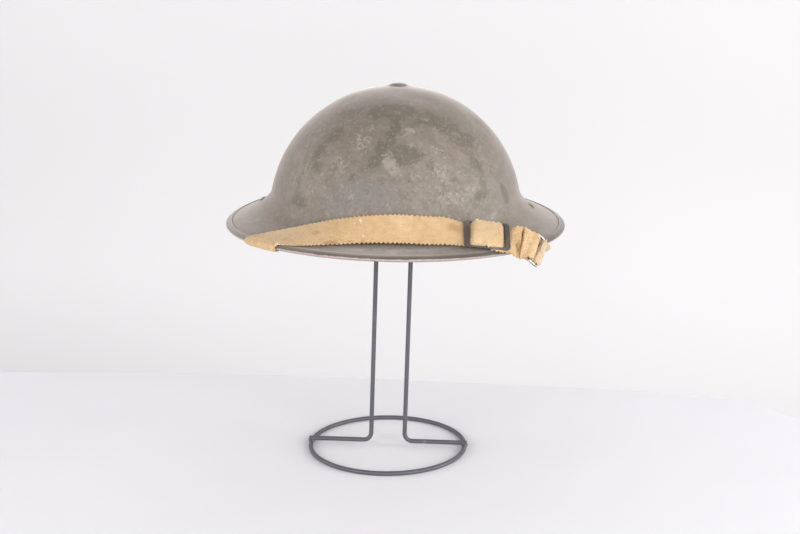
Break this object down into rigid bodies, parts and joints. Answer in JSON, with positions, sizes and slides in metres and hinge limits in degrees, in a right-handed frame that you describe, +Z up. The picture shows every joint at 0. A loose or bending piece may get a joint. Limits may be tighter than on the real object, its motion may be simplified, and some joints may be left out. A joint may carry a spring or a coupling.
{
  "type": "brodie helmet on wire stand",
  "caption": "Shallow wide-brimmed pressed steel helmet in worn olive-grey paint, with a tan web chin strap hooked over the front of its brim, on a plain black wire stand.",
  "frame": {"origin": "on the surface that the stand rests on, under the centre of the whole", "axes": "+Z up, the helmet's front towards -Y, its rivets and the stand's arms along X"},
  "size_m": [0.2924, 0.3042, 0.3279],
  "materials": {
    "shell_paint": "worn matt olive-grey paint with scuffs and darker patches",
    "rim_band_paint": "worn olive paint, rubbed to bare metal along the outer edge",
    "rivet_paint": "painted over with the shell",
    "lug_steel": "dark paint",
    "webbing": "tan cotton webbing, stained and frayed at the edges",
    "dark_steel": "dark grey, slightly glossy",
    "plated_wire": "dull nickel plate",
    "black_wire": "satin black coating"
  },
  "bodies": {
    "root": {"helmet_shell": "shell_paint", "rim_band": "rim_band_paint", "crown_rivet": "rivet_paint", "side_rivet_left": "rivet_paint", "side_rivet_right": "rivet_paint", "strap_lug_left": "lug_steel", "strap_lug_right": "lug_steel", "chin_strap": "webbing", "strap_tab": "webbing", "buckle": "dark_steel", "end_loop": "plated_wire", "wire_stand": "black_wire"}
  },
  "joints": []
}
